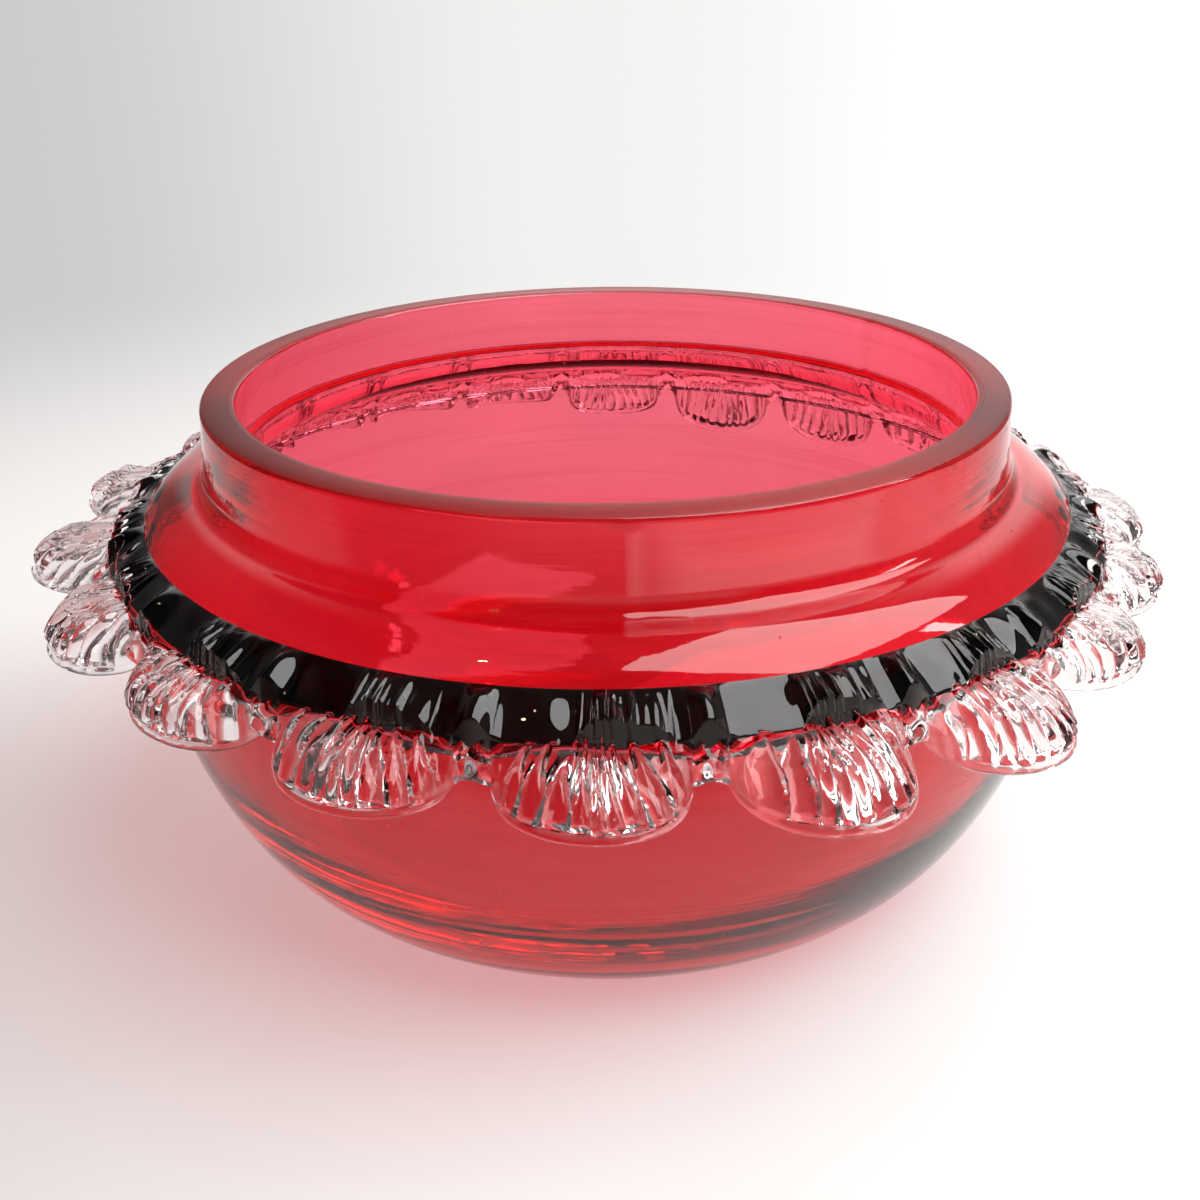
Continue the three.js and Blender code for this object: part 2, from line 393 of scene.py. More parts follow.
def shell_sides():
    """Columns from web to web: even steps over the webs, and LOBE_SHARE sin(t) over the lobe."""
    web = np.linspace(1, LOBE_SHARE, WEB_COLUMNS, endpoint=False)
    turn = np.linspace(-np.pi / 2, np.pi / 2, SHELL_COLUMNS - 2 * WEB_COLUMNS)
    return np.r_[-web, LOBE_SHARE * np.sin(turn), web[::-1]][:, None]


BAND_ROWS, FACE_ROWS, LIP_ROWS, UNDER_ROWS, ROOT_ROWS = 22, 84, 12, 44, 12
PLATE_ROWS = FACE_ROWS // 4
SHELL_COLUMNS = 208
WEB_COLUMNS = 20
FINGER_SHARE = 0.22
FINGER_OUT = 2.3
FINGER_LIFT = 2.4
FINGER_BULK = 1.25

# The crest is where the band over the trail turns down into the face: low and far out beside the webs, and
# raised in an arch where the pincers bit
CREST_LOW = (94.3, 65.9)
CREST_FINGER = (-0.5, 3.1)
ARCH_RISE = 3.3
ARCH_DRAW = 1.3
ARCH_HALF = 0.54
ARCH_SQUARENESS = 2.2
PLATE_FOOT = 65.0
PLATE_SLOPE = 0.22
DOME = 5.2
HOLLOW = 4.2
BAND_ROLL = 0.27
FACE_WAVE = 0.3
UNDER_WAVE = 0.25
FAN_CURVE = 1.4

RIB_COUNT = 9
RIB_DEPTH = 1.8
RIB_SINK = 0.35
RIB_ROUND = 0.6
UNDER_RIB_DEPTH = 1.2
IMPRINT_SIDE = 0.72
IMPRINT_EDGE = (0.8, 0.7)


def ribs(side, height, out, index):
    """Pincer ribs over the imprint, as rounded ridges (1 - x^2)^0.6: pointed at their top ends under the
    plate, full down the face, and rounded off before the lip. out runs from 0 at the crest to 1 there."""
    across = side / IMPRINT_SIDE * RIB_COUNT / 2 + RIB_COUNT / 2
    across = across + 0.2 * np.sin(1.3 * across + 1.7 * index) + 0.1 * np.sin(5 * out + index + 2 * side)
    x = 2 * (across % 1) - 1
    number = np.floor(across)
    start = PLATE_FOOT + 0.9 + 0.7 * np.sin(2.7 * number + index)
    width = 0.35 + 0.65 * smooth(start, start - 3.5, height)
    ridge = (1 - (x / width) ** 2).clip(0) ** RIB_ROUND
    stop = 0.98 + 0.015 * np.sin(1.9 * number + 2 * index)
    ends = smooth(start + 0.4, start - 1.2, height) * smooth(stop, stop - 0.05, out)
    return ridge * ends * smooth(*IMPRINT_EDGE, np.abs(side))


def curve(start, middle, end, share):
    """Rows of the quadratic curve from start by middle to end for every column, as an array of columns,
    rows and [radius, height]."""
    t = share[None, :, None]
    return (1 - t) ** 2 * start[:, None] + 2 * t * (1 - t) * middle[:, None] + t * t * end[:, None]


def lip_line(index, middle, bulge, thick):
    """[radius, height] of the shell's edge for each column: the web's place plus the lobe's share of the way
    to the lip, sagging between them, and pushed out and up at the fingers."""
    to_left, to_back = near(middle, LEFT_AZIMUTH, LEFT_WIDTH), near(middle, BACK_AZIMUTH, BACK_WIDTH)
    reach = SHELL_REACH + REACH_DRIFT * np.sin(REACH_BEAT * index)
    reach = reach + LEFT_REACH * to_left - BACK_DRAW * to_back
    hang = HANG_DRIFT * np.cos(HANG_BEAT * index) + LEFT_RISE * to_left - BACK_SINK * to_back
    lip = np.array([BELLY_RADIUS + reach, TRAIL_HEIGHT - SHELL_DROP + hang])
    web = np.array([BELLY_RADIUS + WEB_REACH, TRAIL_HEIGHT - WEB_DROP])
    tip = web + (lip - web) * bulge + thick * [FINGER_OUT, FINGER_LIFT]
    tip[:, 1] -= (LIP_SAG * 4 * bulge * (1 - bulge))[:, 0]
    return tip


def crest_line(index, side, thick):
    """[radius, height] of the crest for each column, and the arch (1 - |x|^p)^(1/p) that the pincers left.
    The arch lies a little to one side, by its own amount on each shell, and its top is ragged."""
    shift = 0.16 + 0.12 * np.sin(2.1 * index + 0.6)
    ragged = 0.25 * np.sin(41 * side + 5 * index) + 0.15 * np.sin(67 * side + 2 * index)
    x = np.minimum(np.abs(side - shift) / ARCH_HALF, 1)
    arch = (1 - x ** ARCH_SQUARENESS).clip(0) ** (1 / ARCH_SQUARENESS)
    radius = CREST_LOW[0] - ARCH_DRAW * arch + CREST_FINGER[0] * thick
    height = CREST_LOW[1] + ARCH_RISE * arch + CREST_FINGER[1] * thick
    height = height + ragged * smooth(0, 0.5, arch) * smooth(1, 0.9, x)
    return np.c_[radius, height], arch


def band_part(index, side, thick, edge, crest):
    """The band: a quadratic curve from the trail's top edge to the crest, with slow rolls of hot glass."""
    over = edge + 0.3 * (crest - edge) + [0, 0.5] + thick * [1.2, 0.6]
    band = curve(edge, over, crest, np.linspace(0, 1, BAND_ROWS)[:-1])
    down = np.linspace(0, 1, BAND_ROWS)[None, :-1]
    roll = np.sin(9 * side + 2.6 * index + 1.5 * down) + 0.6 * np.sin(17 * side + 1.1 * index - 2 * down)
    band[..., 1] += BAND_ROLL * roll * np.sin(np.pi * down) ** 1.5 * (1 - 0.8 * thick)
    return band


def face_part(index, side, bulge, thick, crest, arch, lip_top, outward):
    """The face: a steep plate from the crest down, then a quadratic curve that domes and flares to the lip.
    The ribs and the waves of the hot glass are laid along the section's outward direction."""
    bitten = np.maximum(arch, thick)
    plate_height = crest[:, 1:] - (crest[:, 1:] - PLATE_FOOT).clip(0.5) * bitten - 0.05
    foot = np.c_[crest[:, :1] + PLATE_SLOPE * (crest[:, 1:] - plate_height), plate_height]
    t = np.linspace(0, 1, PLATE_ROWS, endpoint=False)[None, :, None]
    plate = crest[:, None] + t * (foot - crest)[:, None]
    knee = (foot + lip_top) / 2 + outward * (DOME * bulge + 0.8 * thick) + [0.6, 0] * bulge
    flare = curve(foot, knee, lip_top, np.linspace(0, 1, FACE_ROWS - PLATE_ROWS))
    face = np.concatenate([plate, flare], 1)
    out = np.linspace(0, 1, FACE_ROWS)[None, :]
    wave = np.sin(5 * side + 3 * out + 2.3 * index) * np.sin(6 * out - 2 * side + index)
    loose = bulge * smooth(1, 0.85, out) * smooth(0.25, 0.5, out)
    lift = RIB_DEPTH * (ribs(side, face[..., 1], out, index) - RIB_SINK * smooth(0.3, 0.5, out)) * bulge
    lift = lift * smooth(1, 0.96, out) + FACE_WAVE * wave * loose
    return face + lift[..., None] * outward[:, None]


def under_part(index, side, bulge, lip_under, root, outward, lip_height):
    """The underside: a hollow quadratic curve from the lip back to the root, with the ribs pressed in and
    waves of its own."""
    belly = (lip_under + root) / 2 + outward * HOLLOW * bulge
    under = curve(lip_under, belly, root, np.linspace(0, 1, UNDER_ROWS))
    out = np.linspace(1, 0, UNDER_ROWS)[None, :]
    wave = np.sin(8 * side + 4 * out + 1.3 * index) * np.sin(7 * out - 5 * side + 2 * index)
    ridged = ribs(side, lip_height + (PLATE_FOOT - lip_height) * (1 - out), out, index)
    lift = (UNDER_WAVE * wave - UNDER_RIB_DEPTH * ridged) * smooth(1, 0.85, out) * smooth(0, 0.25, out)
    return under + (lift * bulge)[..., None] * outward[:, None]


def fan_shares(bulge):
    """How far each row of the section is gathered to the shell's middle: fully at the band and the root, and
    not at the lip."""
    return FAN_NARROWING * bulge * np.r_[
        np.ones(BAND_ROWS - 1),
        1 - np.linspace(0, 1, FACE_ROWS) ** FAN_CURVE,
        np.zeros(LIP_ROWS - 1),
        np.linspace(0, 1, UNDER_ROWS),
        np.ones(ROOT_ROWS - 2),
    ][None, :]


def shell(index):
    """One shell as a grid of columns from web to web and rows round its section: band, face, lip as a half
    circle, underside, and root up the face of the trail, to which it is fused."""
    middle, left, right = shell_span(index)
    web_gap = np.degrees(FUSED_GAP / 2 / BELLY_RADIUS)
    left, right = left - web_gap, right - web_gap
    side = shell_sides()
    bulge, thick = lobe(side), finger(side)
    tip = lip_line(index, middle, bulge, thick)
    crest, arch = crest_line(index, side, thick)
    top_height = TRAIL_HEIGHT + TRAIL_HALF_HEIGHT
    edge = np.array([trail_radius(np.array(top_height), FUSED_GAP), top_height]) + 0 * side

    along = tip - crest
    along /= np.linalg.norm(along, axis=1, keepdims=True)
    outward = np.c_[-along[:, 1], along[:, 0]]
    half = LIP_THICKNESS / 2 + FINGER_BULK * thick
    bead = tip - along * half
    lip_top, lip_under = bead + outward * half, bead - outward * half
    a = (np.arange(1, LIP_ROWS) / LIP_ROWS * np.pi)[None, :, None]
    round_lip = bead[:, None] + half[:, None] * (np.cos(a) * outward[:, None] + np.sin(a) * along[:, None])

    low = root_height(thick)
    root = np.c_[trail_radius(low, FUSED_GAP), low]
    height = low + (top_height - low) * np.linspace(0, 1, ROOT_ROWS)[None, 1:]
    fused = np.stack([trail_radius(height, FUSED_GAP), height], -1)[:, :-1]
    band = band_part(index, side, thick, edge, crest)
    face = face_part(index, side, bulge, thick, crest, arch, lip_top, outward)
    under = under_part(index, side, bulge, lip_under, root, outward, face[:, -1:, 1])

    section = np.concatenate([band, face, round_lip, under, fused], 1)
    azimuth = np.radians(middle + swing(side, fan_shares(bulge), left, right))
    radius, height = section[..., 0], section[..., 1]
    points = np.stack([radius * np.cos(azimuth), radius * np.sin(azimuth), height], -1)
    rows = points.shape[1]
    faces = grid_faces(SHELL_COLUMNS, rows, False, True).tolist()
    last = (SHELL_COLUMNS - 1) * rows
    caps = [list(range(rows))[::-1], [last + j for j in range(rows)]]
    made = shape(f"shell_glass_{index + 1:02d}", points.reshape(-1, 3), faces + caps)
    row_fused = np.zeros(rows)
    row_fused[BAND_ROWS - 1 + FACE_ROWS + LIP_ROWS - 1 + UNDER_ROWS - 1:] = 1
    mark(made, "fused", "FACE", np.r_[np.tile(row_fused, SHELL_COLUMNS - 1), 1, 1])
    return made


# Materials

GLASS_IOR = 1.5

# The rim is ground flat between these depths below its top, in millimetres
GROUND_DEPTHS = (0.35, 0.1)

SPECK_COLOR = (0.9, 0.88, 0.86)
SPECK_ROUGHNESS = 0.8
SPECK_SCALE = 420

# The part of the light scattered by the floor that runs straight through the glass
SCATTERED_SHARE = 0.35


def new_material(name):
    """A material, its node tree and its Principled shader."""
    material = bpy.data.materials.new(name)
    material.use_nodes = True
    tree = material.node_tree
    return material, tree, tree.nodes["Principled BSDF"]


def link(tree, source, target):
    tree.links.new(source, target)


def node(tree, kind, **settings):
    made = tree.nodes.new(kind)
    for name, value in settings.items():
        setattr(made, name, value)
    return made


def stored(tree, name):
    """The number that mark() stored on a piece under this name."""
    return node(tree, "ShaderNodeAttribute", attribute_name=name).outputs["Fac"]


def math(tree, operation, first, second):
    """One step of arithmetic on two numbers or sockets."""
    made = node(tree, "ShaderNodeMath", operation=operation)
    for socket, value in zip(made.inputs, (first, second)):
        if isinstance(value, (int, float)):
            socket.default_value = value
        else:
            link(tree, value, socket)
    return made.outputs[0]


def mixed_color(tree, share, first, second):
    """From the first colour or socket to the second, by a share from 0 to 1."""
    made = node(tree, "ShaderNodeMix", data_type="RGBA")
    link(tree, share, made.inputs[0])
    for socket, value in ((made.inputs[6], first), (made.inputs[7], second)):
        if isinstance(value, tuple):
            socket.default_value = (*value, 1)
        else:
            link(tree, value, socket)
    return made.outputs[2]


def eased(tree, value, edge_low, edge_high):
    """0 below the first edge and 1 past the second, eased between them. Edges may run either way."""
    made = node(tree, "ShaderNodeMapRange", interpolation_type="SMOOTHSTEP")
    link(tree, value, made.inputs["Value"])
    flip = edge_low > edge_high
    made.inputs["From Min"].default_value = edge_high if flip else edge_low
    made.inputs["From Max"].default_value = edge_low if flip else edge_high
    made.inputs["To Min"].default_value = 1 if flip else 0
    made.inputs["To Max"].default_value = 0 if flip else 1
    return made.outputs[0]


def mixed_shader(tree, share, first, second):
    """From the first shader to the second, by a share from 0 to 1."""
    made = node(tree, "ShaderNodeMixShader")
    for socket, source in zip(made.inputs, (share, first, second)):
        link(tree, source, socket)
    return made.outputs[0]


def effect(name, amounts, results):
    """An empty node group that takes a place and named amounts and gives named results, with the sockets of
    its input and output nodes."""
    made = bpy.data.node_groups.new(name, "ShaderNodeTree")
    made.interface.new_socket("Place", in_out="INPUT", socket_type="NodeSocketVector")
    for socket in amounts:
        made.interface.new_socket(socket, in_out="INPUT", socket_type="NodeSocketFloat")
    for socket in results:
        made.interface.new_socket(socket, in_out="OUTPUT", socket_type="NodeSocketFloat")
    return made, made.nodes.new("NodeGroupInput").outputs, made.nodes.new("NodeGroupOutput").inputs


def noise(tree, place, scale, detail=2, roughness=0.5):
    made = node(tree, "ShaderNodeTexNoise")
    made.inputs["Scale"].default_value = scale
    made.inputs["Detail"].default_value = detail
    made.inputs["Roughness"].default_value = roughness
    link(tree, place, made.inputs["Vector"])
    return made.outputs["Fac"]


def stretched(tree, place, x, y, z):
    """A place with each of its coordinates multiplied, so that a pattern there is drawn out or packed."""
    made = node(tree, "ShaderNodeVectorMath", operation="MULTIPLY")
    link(tree, place, made.inputs[0])
    made.inputs[1].default_value = (x, y, z)
    return made.outputs[0]


def blown_waves():
    """Waves of hand-worked glass: broad swells, fine ripples, and tool streaks that run round the bowl.
    Height is in metres and feeds a Bump node of distance 1."""
    tree, given, put_out = effect("blown waves", ("Swell", "Ripple", "Streak"), ("Height", "Streaks"))
    swell = math(tree, "MULTIPLY", noise(tree, given["Place"], 28, 1), given["Swell"])
    ripple = math(tree, "MULTIPLY", noise(tree, given["Place"], 160, 2), given["Ripple"])
    lines = noise(tree, stretched(tree, given["Place"], 9, 9, 420), 1, 4, 0.6)
    streak = math(tree, "MULTIPLY", lines, given["Streak"])
    link(tree, math(tree, "ADD", math(tree, "ADD", swell, ripple), streak), put_out["Height"])
    link(tree, lines, put_out["Streaks"])
    return tree


def settled_dust():
    """Dust specks and fine rubbed scratches on old glass, each as a mask from 0 to 1."""
    tree, given, put_out = effect("settled dust", ("Amount",), ("Specks", "Rubbed"))
    cells = node(tree, "ShaderNodeTexVoronoi")
    cells.inputs["Scale"].default_value = SPECK_SCALE
    link(tree, given["Place"], cells.inputs["Vector"])
    near_middle = eased(tree, cells.outputs["Distance"], 0.13, 0.05)
    chosen = node(tree, "ShaderNodeSeparateColor")
    link(tree, cells.outputs["Color"], chosen.inputs[0])
    few = math(tree, "LESS_THAN", chosen.outputs[0], given["Amount"])
    link(tree, math(tree, "MULTIPLY", near_middle, few), put_out["Specks"])
    lines = noise(tree, stretched(tree, given["Place"], 1500, 40, 900), 1, 1)
    link(tree, eased(tree, lines, 0.68, 0.74), put_out["Rubbed"])
    return tree


def placed(tree, group, **values):
    """An effect group put into a material, with its own values, read at the object's coordinates."""
    made = node(tree, "ShaderNodeGroup", node_tree=group)
    link(tree, node(tree, "ShaderNodeTexCoord").outputs["Object"], made.inputs["Place"])
    for name, value in values.items():
        made.inputs[name].default_value = value
    return made.outputs


def glass(name, look, volume=None, band=None):
    """Clear glass: alpha 0 where a face is fused to its neighbour, so light runs on as it does in one lump
    of glass. Lamps shine straight through it. A fused band stored as dark gets painted shade: it is drawn
    near black on its outer side, from wherever it is seen, in place of the little light that the wall behind
    the trail lets back out.
    The surface has blown waves and streaks, specks of dust, and a ground rim that is dull and greyish."""
    material, tree, principled = new_material(name)
    principled.inputs["IOR"].default_value = GLASS_IOR
    principled.inputs["Transmission Weight"].default_value = 1
    waves = placed(tree, WAVES, Swell=look["swell"], Ripple=look["ripple"], Streak=look["streak"])
    dust = placed(tree, DUST, Amount=look["dust"])
    parts = node(tree, "ShaderNodeSeparateXYZ")
    link(tree, node(tree, "ShaderNodeTexCoord").outputs["Object"], parts.inputs[0])
    ground = eased(tree, parts.outputs[2], *((BOWL_HEIGHT - depth) * MM for depth in GROUND_DEPTHS))
    streaked = eased(tree, waves["Streaks"], *look["streak_edges"])
    tint = mixed_color(tree, streaked, look["color"], look["streak_color"])
    tint = mixed_color(tree, ground, tint, look["ground_color"])
    link(tree, mixed_color(tree, dust["Specks"], tint, SPECK_COLOR), principled.inputs["Base Color"])
    dull = math(tree, "MULTIPLY", ground, look["ground_roughness"])
    dull = math(tree, "MAXIMUM", dull, math(tree, "MULTIPLY", dust["Specks"], SPECK_ROUGHNESS))
    dull = math(tree, "MAXIMUM", dull, math(tree, "MULTIPLY", dust["Rubbed"], look["rubbed"]))
    link(tree, dull, principled.inputs["Roughness"])
    bump = node(tree, "ShaderNodeBump")
    bump.inputs["Distance"].default_value = 1
    link(tree, waves["Height"], bump.inputs["Height"])
    link(tree, bump.outputs[0], principled.inputs["Normal"])
    link(tree, math(tree, "LESS_THAN", stored(tree, "fused"), 0.0005), principled.inputs["Alpha"])
    surface = principled.outputs[0]
    # Painted shade: faces of the band stored as dark are drawn near black on their outer side by a dark
    # Transparent shader.
    if band:
        inward = math(tree, "SUBTRACT", 1, node(tree, "ShaderNodeNewGeometry").outputs["Backfacing"])
        dark = math(tree, "MULTIPLY", stored(tree, "dark"), inward)
        painted_shade_bsdf = node(tree, "ShaderNodeBsdfTransparent")
        painted_shade_bsdf.inputs["Color"].default_value = (*band, 1)
        surface = mixed_shader(tree, dark, surface, painted_shade_bsdf.outputs[0])
    through = node(tree, "ShaderNodeBsdfTransparent")
    through.inputs["Color"].default_value = (*look["shadow"], 1)
    rays = node(tree, "ShaderNodeLightPath")
    scattered = math(tree, "MULTIPLY", rays.outputs["Is Diffuse Ray"], SCATTERED_SHARE)
    passing = math(tree, "MAXIMUM", rays.outputs["Is Shadow Ray"], scattered)
    surface = mixed_shader(tree, passing, surface, through.outputs[0])
    link(tree, surface, tree.nodes["Material Output"].inputs["Surface"])
    if volume:
        absorb = tree.nodes.new("ShaderNodeVolumeAbsorption")
        absorb.inputs["Color"].default_value = (*volume[0], 1)
        absorb.inputs["Density"].default_value = volume[1]
        link(tree, absorb.outputs[0], tree.nodes["Material Output"].inputs["Volume"])
    return material


# The scene


# The camera's place in metres, and its turns in radians
CAMERA_PLACE = (-0.00141, -0.24325, 0.15907)
CAMERA_PITCH = 0.447408
CAMERA_YAW = -0.00025
CAMERA_ROLL = -0.012945
CAMERA_LENS = 39


def camera():
    """A pinhole camera in front of the bowl, looking down, with a 39 mm lens on a 36 mm square frame."""
    pitch, yaw, roll = CAMERA_PITCH, CAMERA_YAW, CAMERA_ROLL
    forward = Vector((np.sin(yaw) * np.cos(pitch), np.cos(yaw) * np.cos(pitch), -np.sin(pitch)))
    right = Vector((np.cos(yaw), -np.sin(yaw), 0))
    up = right.cross(forward)
    x = right * np.cos(roll) + up * np.sin(roll)
    y = up * np.cos(roll) - right * np.sin(roll)
    data = bpy.data.cameras.new("camera")
    data.lens = CAMERA_LENS
    data.sensor_width = 36
    data.sensor_fit = "HORIZONTAL"
    data.clip_start = 0.01
    made = bpy.data.objects.new("camera", data)
    turn = Matrix((x, y, -forward)).transposed().to_4x4()
    made.matrix_world = Matrix.Translation(CAMERA_PLACE) @ turn
    bpy.context.scene.collection.objects.link(made)
    bpy.context.scene.camera = made


def lamp(name, place, target, size, watts, color=(1, 1, 1)):
    """A rectangular lamp at a place, turned to a target."""
    data = bpy.data.lights.new(name, "AREA")
    data.shape = "RECTANGLE"
    data.size, data.size_y = size
    data.energy = watts
    data.color = color
    made = bpy.data.objects.new(name, data)
    made.location = place
    made.rotation_euler = (Vector(target) - Vector(place)).to_track_quat("-Z", "Y").to_euler()
    bpy.context.scene.collection.objects.link(made)
    return made


# The floor is a pale sheet, with painted shade that darkens it to the left of the bowl and makes it dark in
# front of the bowl, and a patch of painted daylight glowing on its right. Each edge runs from the first to
# the second value, across or along the floor in metres.
FLOOR_RADIUS = 0.9
FLOOR_SINK = 0.0002
FLOOR_FADE = (0.6, 0.2)
SHEET_COLOR = (0.92, 0.89, 0.885)
PAINTED_SHADE_COLOR = (0.62, 0.575, 0.57)
PAINTED_SHADE_ACROSS = (0.0, -0.17)
PAINTED_SHADE_ALONG = (0.1, -0.02)
# Painted shade in front of the bowl: its colour and where it begins.
FRONT_SHADE_COLOR = (0.16, 0.12, 0.11)
FRONT_SHADE_EDGE = (-0.125, -0.165)
DAYLIGHT_EDGE = (0.02, 0.12)
DAYLIGHT_COLOR = (1.0, 0.97, 0.94)
DAYLIGHT = 2.6


def stage():
    """A round pale floor that fades into the backdrop's colour well outside the bowl, darker to the left of
    the bowl by painted shade. It is a sheet that ends in front of the bowl, out of the picture, where
    painted shade makes it dark."""
    turn = np.linspace(0, 2 * np.pi, 97)[:-1]
    rim = np.c_[np.cos(turn), np.sin(turn), np.zeros(96)] * FLOOR_RADIUS
    mesh = bpy.data.meshes.new("floor")
    mesh.from_pydata(rim.tolist(), [], [list(range(96))])
    made = bpy.data.objects.new("floor", mesh)
    made.location.z = -FLOOR_SINK
    bpy.context.scene.collection.objects.link(made)
    material, tree, principled = new_material("pale floor")
    principled.inputs["Roughness"].default_value = 0.6
    principled.inputs["Specular IOR Level"].default_value = 0.3
    place = node(tree, "ShaderNodeTexCoord").outputs["Object"]
    parts = node(tree, "ShaderNodeSeparateXYZ")
    link(tree, place, parts.inputs[0])
    # Painted shade: the floor in front of the bowl, out of the picture, is dark, with painted daylight on
    # its right.
    front_shade = eased(tree, parts.outputs[1], *FRONT_SHADE_EDGE)
    # Painted shade: the sheet is darker to the left of the bowl.
    across, along = eased(tree, parts.outputs[0], *PAINTED_SHADE_ACROSS), eased(tree, parts.outputs[1], *PAINTED_SHADE_ALONG)
    dull = math(tree, "MULTIPLY", across, along)
    sheet = mixed_color(tree, dull, SHEET_COLOR, PAINTED_SHADE_COLOR)
    link(tree, mixed_color(tree, front_shade, sheet, FRONT_SHADE_COLOR), principled.inputs["Base Color"])
    daylight = math(tree, "MULTIPLY", front_shade, eased(tree, parts.outputs[0], *DAYLIGHT_EDGE))
    link(tree, mixed_color(tree, daylight, (0, 0, 0), DAYLIGHT_COLOR), principled.inputs["Emission Color"])
    principled.inputs["Emission Strength"].default_value = DAYLIGHT
    far = node(tree, "ShaderNodeVectorMath", operation="LENGTH")
    link(tree, place, far.inputs[0])
    link(tree, eased(tree, far.outputs["Value"], *FLOOR_FADE), principled.inputs["Alpha"])
    mesh.materials.append(material)


def ramp(tree, value, *stops):
    """A colour ramp through (position, colour) stops."""
    made = node(tree, "ShaderNodeValToRGB")
    made.color_ramp.interpolation = "EASE"
    for _ in stops[2:]:
        made.color_ramp.elements.new(0.5)
    for element, (position, color) in zip(made.color_ramp.elements, stops):
        element.position = position
        element.color = (*color, 1) if isinstance(color, tuple) else (color, color, color, 1)
    link(tree, value, made.inputs["Fac"])
    return made.outputs["Color"]


def product(tree, first, second):
    """Two colours multiplied."""
    made = node(tree, "ShaderNodeMix", data_type="RGBA", blend_type="MULTIPLY")
    made.inputs[0].default_value = 1
    link(tree, first, made.inputs[6])
    link(tree, second, made.inputs[7])
    return made.outputs[2]


# The backdrop's strength where the camera sees it plainly, and where the glass and the floor see it
PLAIN_SKY = 1.1
LIT_SKY = 1.45

# Brightness from left to right, from the horizon up, and from the camera's side to the back, as stops from 0
# to 1, and the colours of what lies low in front and level behind the camera
SKY_ACROSS = (
    (0, 0.04), (0.22, 0.1), (0.3, 0.55), (0.5, (0.81, 0.82, 0.80)), (0.7, 1.0), (0.74, 1.0), (0.84, 0.15),
)
SKY_ABOVE = ((0, 1), (0.5, 1), (0.85, 0.1))
ROOM_BEHIND = ((0.12, 0.12), (0.42, 1))
LOW_LEFT_COLOR = (0.1, 0.1, 0.1)
LOW_COLOR = (0.85, 0.83, 0.82)
ROOM_COLOR = (0.55, 0.55, 0.55)


def centred(tree, direction):
    """A direction's part from -1 to 1 as a share from 0 to 1."""
    made = math(tree, "MULTIPLY_ADD", direction, 0.5)
    made.node.inputs[2].default_value = 0.5
    return made


def world():
    """A pale backdrop up to about 30 degrees above the horizon, brighter to the right, under a dark ceiling,
    with a dark room behind the camera and a grey floor far below in front."""
    made = bpy.data.worlds.new("studio")
    made.use_nodes = True
    bpy.context.scene.world = made
    tree = made.node_tree
    background = tree.nodes["Background"]
    coordinate = node(tree, "ShaderNodeTexCoord")
    parts = node(tree, "ShaderNodeSeparateXYZ")
    link(tree, coordinate.outputs["Generated"], parts.inputs[0])
    beside, behind = centred(tree, parts.outputs[0]), centred(tree, parts.outputs[1])
    height = parts.outputs[2]
    across = ramp(tree, beside, *SKY_ACROSS)
    low = mixed_color(tree, eased(tree, beside, 0.1, 0.4), LOW_LEFT_COLOR, LOW_COLOR)
    low_share = math(tree, "MULTIPLY", eased(tree, height, 0.0, -0.1), eased(tree, behind, 0.6, 0.5))
    across = mixed_color(tree, low_share, across, low)
    above = ramp(tree, height, *SKY_ABOVE)
    room = ramp(tree, behind, *ROOM_BEHIND)
    level_room = mixed_color(tree, eased(tree, behind, 0.3, 0.42), ROOM_COLOR, room)
    room = mixed_color(tree, eased(tree, height, 0.4, 0.12), room, level_room)
    link(tree, product(tree, product(tree, across, above), room), background.inputs["Color"])
    seen = node(tree, "ShaderNodeLightPath").outputs["Is Camera Ray"]
    strength = math(tree, "MULTIPLY_ADD", seen, PLAIN_SKY - LIT_SKY)
    strength.node.inputs[2].default_value = LIT_SKY
    link(tree, strength, background.inputs["Strength"])


camera()
stage()
world()
lamp("window", (0.60, -0.15, 1.15), (0, 0, 0.05), (1.2, 1.0), 20)
lamp("far pane", (0.95, -0.10, 0.55), (0, 0, 0.05), (0.08, 0.3), 0.9)
above = lamp("ceiling", (-0.1, 0.1, 1.6), (0, 0, 0), (1.4, 1.4), 3.5)
above.visible_glossy = False
above.visible_transmission = False
lamp("bulb", (-0.30, -0.28, 0.85), (0, 0, 0.06), (0.02, 0.02), 0.2, (1, 0.72, 0.3))

WAVES = blown_waves()
DUST = settled_dust()

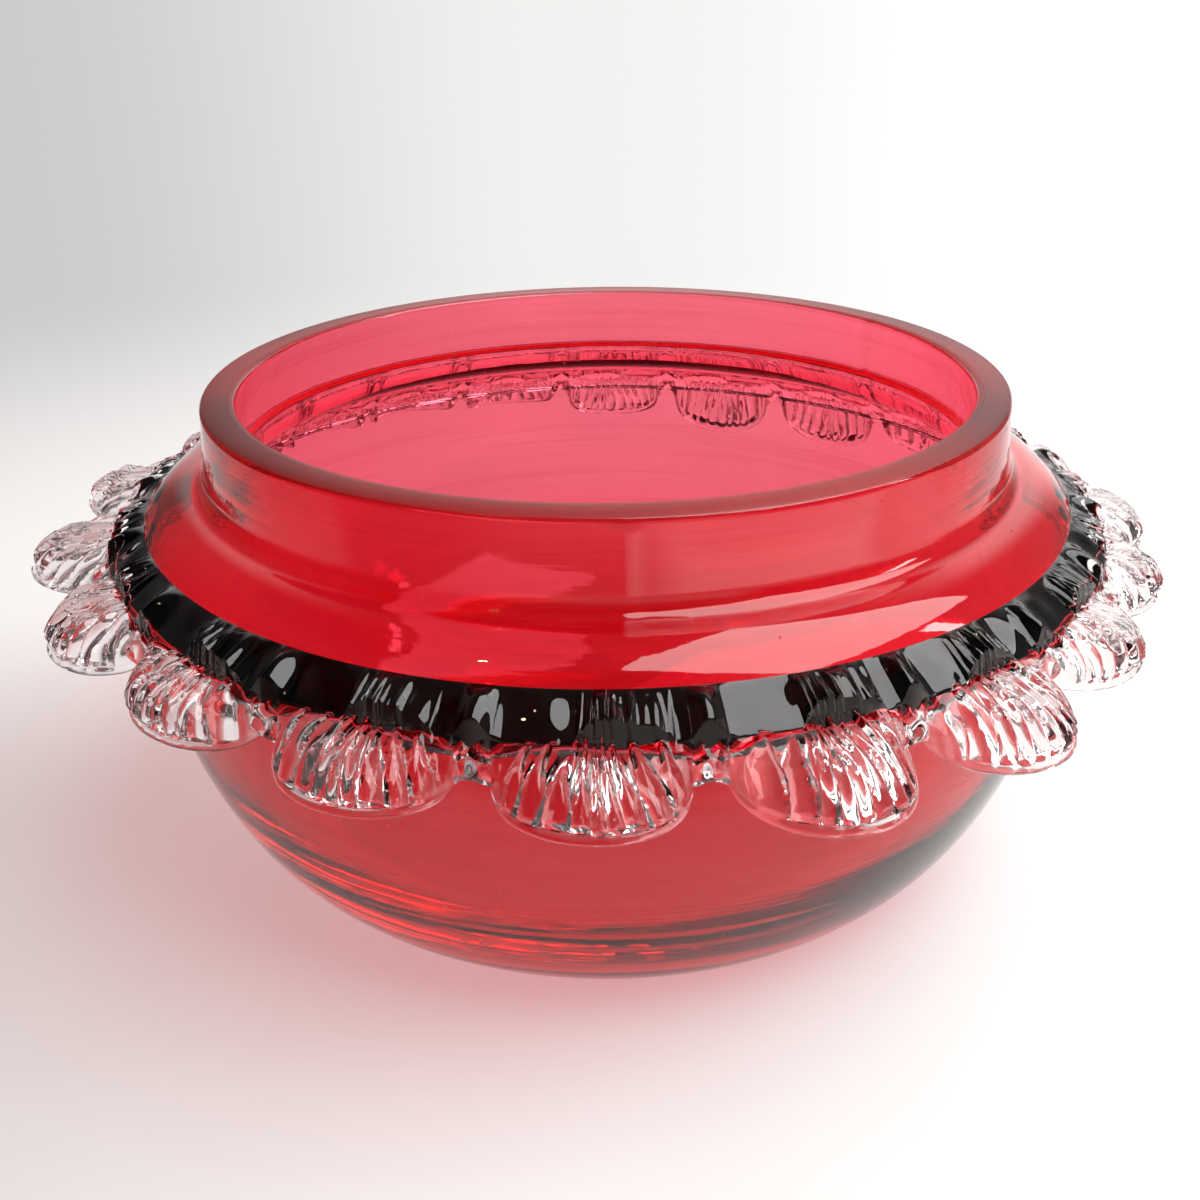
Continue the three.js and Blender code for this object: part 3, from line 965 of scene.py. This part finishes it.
# The looks of the three glasses: colours, bump heights in metres, amounts of dust and wear, the ground rim,
# and the tint that lamps leave in their shadow
FRILL_LOOK = {
    "color": (0.95, 0.9, 0.9), "streak_color": (0.9, 0.82, 0.82), "streak_edges": (0.5, 0.75),
    "swell": 0.00045, "ripple": 0.00006, "streak": 0.0, "dust": 0.05, "rubbed": 0.05,
    "ground_color": (1, 1, 1), "ground_roughness": 0.0, "shadow": (1, 0.99, 0.99),
}
CASING_LOOK = {
    "color": (0.74, 0.75, 0.75), "streak_color": (0.7, 0.64, 0.65), "streak_edges": (0.5, 0.8),
    "swell": 0.0003, "ripple": 0.00001, "streak": 0.00003, "dust": 0.07, "rubbed": 0.08,
    "ground_color": (0.5, 0.36, 0.34), "ground_roughness": 0.5, "shadow": (0.94, 0.77, 0.78),
}
LINING_LOOK = {
    "color": (1, 1, 1), "streak_color": (0.85, 0.62, 0.68), "streak_edges": (0.45, 0.8),
    "swell": 0.0003, "ripple": 0.00001, "streak": 0.00003, "dust": 0.04, "rubbed": 0.05,
    "ground_color": (0.55, 0.3, 0.3), "ground_roughness": 0.5, "shadow": (1, 1, 1),
}
CLEAR = glass("clear glass", FRILL_LOOK)
# The cased glass's band colour is painted shade, drawn near black on the casing behind the trail.
CASED = glass("cased glass", CASING_LOOK, band=(0.012, 0.0, 0.001))
RUBY = glass("ruby glass", LINING_LOOK, ((0.988, 0.03, 0.22), 1400))

body, profile, inside = casing()
mark(body, "fused", "FACE", on_faces(profile, casing_fused(profile, inside)))
# The dark attribute marks where the casing gets painted shade behind the trail.
mark(body, "dark", "FACE", on_faces(profile, casing_painted_shade(profile, inside)))
body.data.materials.append(CASED)
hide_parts("clear_casing")
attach(body, "root")

layer, profile, fused_end = lining()
mark(layer, "fused", "FACE", on_faces(profile, (np.arange(len(profile) - 1) < fused_end).astype(float)))
layer.data.materials.append(RUBY)
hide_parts("ruby_lining")
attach(layer, "root")
layer.visible_shadow = False

band = trail()
band.data.materials.append(CLEAR)
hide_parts("frill_trail")
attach(band, "root")

for index in range(SHELL_COUNT):
    petal = shell(index)
    petal.data.materials.append(CLEAR)
    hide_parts(f"shell_{index + 1:02d}")
    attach(petal, "root")

bpy.context.scene.view_settings.view_transform = "Standard"
settings = bpy.context.scene.cycles
settings.transparent_max_bounces = 48
settings.max_bounces = 24
settings.transmission_bounces = 24
settings.glossy_bounces = 12
settings.caustics_refractive = False
settings.caustics_reflective = False
